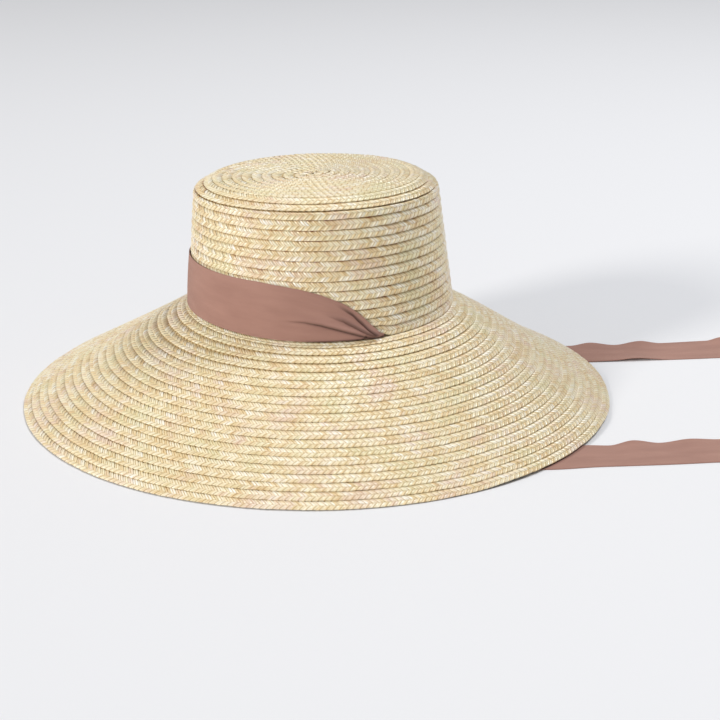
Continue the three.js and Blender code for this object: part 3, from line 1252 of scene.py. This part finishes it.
@dataclass(frozen=True)
class WheatStraw:
    """Bleached and flattened wheat straw: a silky skin over pale golden stems.

    Each straw has a tone from the brown of its foot, where shade is painted, to near white, and some
    straws turn rosy or green in patches. Its fibres are drawn coarser than the real ones, which are
    too fine to show.
    """

    name: str = "Bleached wheat straw"
    # the deepest tone, which the painted shade at each straw's foot and lap reaches
    deep: str = "93501F"
    gold: str = "E7CE9E"
    cream: str = "F6EBCB"
    pale: str = "FEFAEE"
    rosy: str = "EBD2C6"
    green: str = "E6E0B6"
    tint_share: str = "D0D0D0"
    patches_per_metre: float = 38.0
    patch_depth: float = 1.6
    fibres_per_mm: float = 0.9
    fibre_stretch: float = 0.12
    fibre_depth: float = 0.8
    fold_start: float = 0.05
    fold_end: float = 0.4
    groove_shade_tint: str = "D2BC94"
    roughness: float = 0.28
    wax: float = 0.5
    wax_roughness: float = 0.28

    def build(self) -> bpy.types.Material:
        """Returns the material: a tone and a hue for each straw, a fold along it with painted shade in its
        groove, fine fibres.
        """
        n = Nodes(self.name)
        place = n.add("ShaderNodeUVMap", uv_map="Straw")
        stretched = n.add("ShaderNodeMapping", {0: place, "Scale": (self.fibre_stretch, 1, 1)})
        fibres = n.add("ShaderNodeTexNoise", {0: stretched, "Scale": self.fibres_per_mm, "Detail": 3})
        side = n.add("ShaderNodeSeparateXYZ", {0: place}).outputs[1]
        off_middle = n.add("ShaderNodeMath", {0: side}, operation="ABSOLUTE")
        # flat lowers the bump along each straw's middle; the second ramp darkens the colour there as painted
        # shade in the fold's groove
        flat, fold = (
            n.add("ShaderNodeValToRGB", {0: off_middle}, ((self.fold_start, low), (self.fold_end, "FFFFFF")))
            for low in ("000000", self.groove_shade_tint)
        )
        colour = n.add("ShaderNodeMix", {
            0: 1.0,
            6: self.tinted(n, self.toned(n, fibres)),
            7: fold,
        }, data_type="RGBA", blend_type="MULTIPLY")
        height = n.add("ShaderNodeMath", {0: fibres, 1: 0.6, 2: flat}, operation="MULTIPLY_ADD")
        bump = n.add("ShaderNodeBump", {"Strength": 0.7, "Distance": 0.4 * MM, "Height": height})
        return n.finish(n.add("ShaderNodeBsdfPrincipled", {
            "Base Color": colour.outputs[2],
            "Roughness": self.roughness,
            "IOR": 1.5,
            "Coat Weight": self.wax,
            "Coat Roughness": self.wax_roughness,
            "Normal": bump,
        }))

    def toned(self, n: Nodes, fibres: bpy.types.Node) -> bpy.types.Node:
        """Gives the straw's colour by its tone and its fibres.

        Args:
            n: The material's nodes.
            fibres: The noise of the fibres.

        Returns:
            The node with the colour.
        """
        streak = n.add("ShaderNodeMath", {
            0: fibres, 1: self.fibre_depth, 2: -self.fibre_depth / 2,
        }, operation="MULTIPLY_ADD")
        own = n.add("ShaderNodeAttribute", attribute_name="tone").outputs["Fac"]
        tone = n.add("ShaderNodeMath", {0: own, 1: streak}, operation="ADD")
        return n.add("ShaderNodeValToRGB", {0: tone}, (
            (0.0, self.deep), (0.33, self.gold), (0.6, self.cream), (0.9, self.pale),
        ))

    def tinted(self, n: Nodes, colour: bpy.types.Node) -> bpy.types.NodeSocket:
        """Turns a colour rosy where the hue is low and green where it is high.

        Args:
            n: The material's nodes.
            colour: The node with the colour.

        Returns:
            The socket with the new colour.
        """
        hat = n.add("ShaderNodeTexCoord").outputs["Object"]
        patches = n.add("ShaderNodeTexNoise", {0: hat, "Scale": self.patches_per_metre, "Detail": 2})
        shift = n.add("ShaderNodeMath", {
            0: patches, 1: self.patch_depth, 2: -self.patch_depth / 2,
        }, operation="MULTIPLY_ADD")
        own = n.add("ShaderNodeAttribute", attribute_name="hue").outputs["Fac"]
        hue = n.add("ShaderNodeMath", {0: own, 1: shift}, operation="ADD")
        rosy = n.add("ShaderNodeValToRGB", {0: hue}, ((0.0, self.tint_share), (0.42, "000000")))
        green = n.add("ShaderNodeValToRGB", {0: hue}, ((0.58, "000000"), (1.0, self.tint_share)))
        result = colour.outputs[0]
        for share, tint in ((rosy, self.rosy), (green, self.green)):
            mix = n.add("ShaderNodeMix", {0: share, 6: result, 7: linear(tint)}, data_type="RGBA")
            result = mix.outputs[2]
        return result


@dataclass(frozen=True)
class StrawInside:
    """The back of the braid, which shows inside the hat: the same plait, duller."""

    name: str = "Wheat straw braid, back"
    repeat: float = 4.0
    middle: float = 4.6
    gap: str = "A98552"
    straw: str = "DDC391"
    crest_highlight: str = "EBD6A8"

    def build(self) -> bpy.types.Material:
        """Returns the material, a chevron of straws drawn in mm along the row's own map, with painted shade
        between the straws and a painted highlight on their crests.
        """
        n = Nodes(self.name)
        parts = n.add("ShaderNodeSeparateXYZ", {0: n.add("ShaderNodeUVMap", uv_map="Row")})
        off = n.add("ShaderNodeMath", {0: parts.outputs[1], 1: self.middle}, operation="SUBTRACT")
        far = n.add("ShaderNodeMath", {0: off}, operation="ABSOLUTE")
        slant = n.add("ShaderNodeMath", {0: parts.outputs[0], 1: far}, operation="ADD")
        turns = n.add("ShaderNodeMath", {0: slant, 1: TAU / self.repeat}, operation="MULTIPLY")
        wave = n.add("ShaderNodeMath", {0: turns}, operation="SINE")
        height = n.add("ShaderNodeMath", {0: wave, 1: 0.5, 2: 0.5}, operation="MULTIPLY_ADD")
        # the low colour is painted shade in the gaps between the straws, the high one a painted highlight on
        # their crests
        stops = ((0.0, self.gap), (0.4, self.straw), (1.0, self.crest_highlight))
        return n.finish(n.add("ShaderNodeBsdfPrincipled", {
            "Base Color": n.add("ShaderNodeValToRGB", {0: height}, stops),
            "Roughness": 0.6,
            "Normal": n.add("ShaderNodeBump", {"Strength": 0.6, "Distance": 0.4 * MM, "Height": height}),
        }))


@dataclass(frozen=True)
class RibbonCloth:
    """Plain-woven polyester crepe in a dusty rose brown: matt, with a soft bloom on its folds.

    The threads lie 0.45 mm apart, about twice the real pitch, which is too fine to show.
    """

    name: str = "Dusty rose crepe ribbon"
    cloth: str = "AB8275"
    deep: str = "9D7569"
    # colour of the painted shade along the creases and the band's lower edge
    crease: str = "33150E"
    thread: float = 0.45
    fold_shades_per_mm: float = 0.12
    fold_shade_stretch: float = 0.25
    roughness: float = 0.82

    def build(self) -> bpy.types.Material:
        """Returns the material, with painted shade along the creases and the band's lower edge, and in broad
        patches along it.
        """
        n = Nodes(self.name)
        place = n.add("ShaderNodeUVMap", uv_map="Cloth")
        parts = n.add("ShaderNodeSeparateXYZ", {0: place})
        waves = []
        for part in parts.outputs[:2]:
            turns = n.add("ShaderNodeMath", {0: part, 1: TAU / self.thread}, operation="MULTIPLY")
            waves.append(n.add("ShaderNodeMath", {0: turns}, operation="SINE"))
        weave = n.add("ShaderNodeMath", dict(enumerate(waves)), operation="MULTIPLY")
        # broad patches between the deep and the cloth colour, long along the ribbon: painted shade of the
        # cloth's soft, wide folds
        stretched = n.add("ShaderNodeMapping", {0: place, "Scale": (self.fold_shade_stretch, 1, 1)})
        fold_shade_noise = n.add("ShaderNodeTexNoise", {0: stretched, "Scale": self.fold_shades_per_mm, "Detail": 4})
        # painted shade: the cloth turns to the crease colour where the crease attribute is high
        colour = n.add("ShaderNodeMix", {
            0: n.add("ShaderNodeAttribute", attribute_name="crease").outputs["Fac"],
            6: n.add("ShaderNodeValToRGB", {0: fold_shade_noise}, ((0.25, self.deep), (0.75, self.cloth))),
            7: linear(self.crease),
        }, data_type="RGBA")
        return n.finish(n.add("ShaderNodeBsdfPrincipled", {
            "Base Color": colour.outputs[2],
            "Roughness": self.roughness,
            "Sheen Weight": 0.1,
            "Sheen Roughness": 0.5,
            "Normal": n.add("ShaderNodeBump", {"Strength": 0.25, "Distance": 0.1 * MM, "Height": weave}),
        }))


@dataclass(frozen=True)
class StudioPaper:
    """Seamless paper: pale, cool and quite matt."""

    name: str = "Seamless studio paper"
    colour: str = "E9EBF0"

    def build(self) -> bpy.types.Material:
        """Returns the material."""
        n = Nodes(self.name)
        return n.finish(n.add("ShaderNodeBsdfPrincipled", {
            "Base Color": linear(self.colour),
            "Roughness": 0.9,
            "Specular IOR Level": 0.2,
        }))


# The studio

@dataclass(frozen=True)
class SoftBox:
    """One soft light: where it stands, where it points, how large and how strong it is."""

    name: str
    place: tuple[float, float, float]
    aim: tuple[float, float, float]
    size: float
    power: float
    colour: str = "FFFFFF"

    def build(self) -> None:
        """Adds the light."""
        deselect_all()
        bpy.ops.object.light_add(type="AREA", location=self.place)
        lamp = bpy.context.object
        lamp.name = self.name
        lamp.data.shape = "DISK"
        lamp.data.size = self.size
        lamp.data.energy = self.power
        lamp.data.color = linear(self.colour)[:3]
        way = Vector(self.aim) - Vector(self.place)
        lamp.rotation_euler = way.to_track_quat("-Z", "Y").to_euler()


@dataclass(frozen=True)
class Studio:
    """The pale floor, the lights and the camera at the photograph's angle."""

    camera_place: tuple[float, float, float] = (1.0542, 0.032, 0.4257)
    camera_pitch: float = math.radians(20.88)
    lens: float = 74.8
    floor_size: float = 14.0
    sky: str = "F8F7F6"
    sky_strength: float = 0.45
    lights: tuple[SoftBox, ...] = (
        SoftBox("key_light", (4.4, -5.6, 3.0), (0, 0, 0.08), 1.5, 362.0, "FFFAF2"),
        SoftBox("top_light", (-0.5, 1.5, 3.3), (0, 0.2, 0.1), 0.9, 61.0),
    )

    def build(self) -> None:
        """Builds the floor, the lights, the world and the camera."""
        self.build_camera()
        for light in self.lights:
            light.build()
        self.build_world()
        self.build_floor(StudioPaper().build())
        bpy.context.scene.view_settings.view_transform = "Standard"

    def build_camera(self) -> None:
        """Adds the camera, which looks at the hat's left side from a little above."""
        deselect_all()
        bpy.ops.object.camera_add(
            location=self.camera_place,
            rotation=(math.pi / 2 - self.camera_pitch, 0, math.pi / 2),
        )
        camera = bpy.context.object
        camera.name = "camera"
        camera.data.lens = self.lens
        camera.data.sensor_width = 36
        camera.data.clip_start = 0.05
        camera.data.clip_end = 30
        bpy.context.scene.camera = camera

    def build_world(self) -> None:
        """Lights the scene evenly from all round."""
        world = bpy.data.worlds.new("Soft studio")
        world.use_nodes = True
        background = world.node_tree.nodes["Background"]
        background.inputs[0].default_value = linear(self.sky)
        background.inputs[1].default_value = self.sky_strength
        bpy.context.scene.world = world

    def build_floor(self, paper: bpy.types.Material) -> None:
        """Adds the floor.

        Args:
            paper: The floor's material.
        """
        deselect_all()
        bpy.ops.mesh.primitive_plane_add(size=self.floor_size, location=(0, 0, 0))
        floor = bpy.context.object
        floor.name = "studio_floor"
        floor.data.materials.append(paper)


class Part(Enum):
    """The parts of the hat that are sewn of braid."""

    CROWN = "crown"
    BRIM = "brim"


def braid_work(part: Part, form: HatForm, plait: Plait, ribbon: RibbonSizes) -> BraidWork:
    """Sets up the braid of one part of the hat.

    Args:
        part: The part.
        form: The hat's form.
        plait: The plait that it is sewn of.
        ribbon: The ribbon's sizes, for the slits.

    Returns:
        The work, ready to build.
    """
    if part is Part.CROWN:
        slits = (ribbon.slit_angle, -ribbon.slit_angle)
        tip_rows = 12
        coil = Coil(
            form, form.crown_outline(), plait, 7.12 * MM,
            slits=slits, overhang=0.1 * MM, step=1.4 * MM, step_change=tip_rows * 7 * MM,
        )
        pieces = (
            # the tip's straws are painted paler, as painted light on the hat's top, and get less painted
            # shade in their lap
            Rows("crown_tip_braid", 0.02, tip_rows, tone=0.56, contrast=0.7, lap_shade=0.3),
            Rows("crown_side_braid", tip_rows, coil.turns, contrast=1.2, lap_start=0.8),
        )
        return BraidWork(coil, seed=11, tape_name="crown_tape", pieces=pieces, nodes=("crown",))
    coil = Coil(
        form, form.brim_outline(), plait, 6.94 * MM,
        shift_start=math.radians(-150), inner_limit=-1.5 * MM, settle=1.1 * MM, step=0.7 * MM,
    )
    pieces = (
        Rows("brim_inner_braid", 0.3, 9, lap_shade=0.2),
        Rows("brim_middle_braid", 9, 15.5, lap_shade=0.2),
        Rows("brim_outer_braid", 15.5, coil.turns, lap_shade=0.2),
    )
    return BraidWork(coil, seed=41, tape_name="brim_tape", pieces=pieces, nodes=("brim",))


def main() -> None:
    """Builds the studio, the straw and the ribbon, in that order."""
    logging.basicConfig(level=logging.INFO, format="%(name)s: %(message)s")
    Studio().build()
    form, plait, ribbon = HatForm(), Plait(), RibbonSizes()
    straw, inside, cloth = WheatStraw().build(), StrawInside().build(), RibbonCloth().build()
    for part in Part:
        braid_work(part, form, plait, ribbon).build(straw, inside)
    RibbonBand(form, ribbon).build(cloth)
    for line in (LEFT_TIE, RIGHT_TIE):
        Tie(form, ribbon, line).build(cloth)


if __name__ == "__main__":
    main()
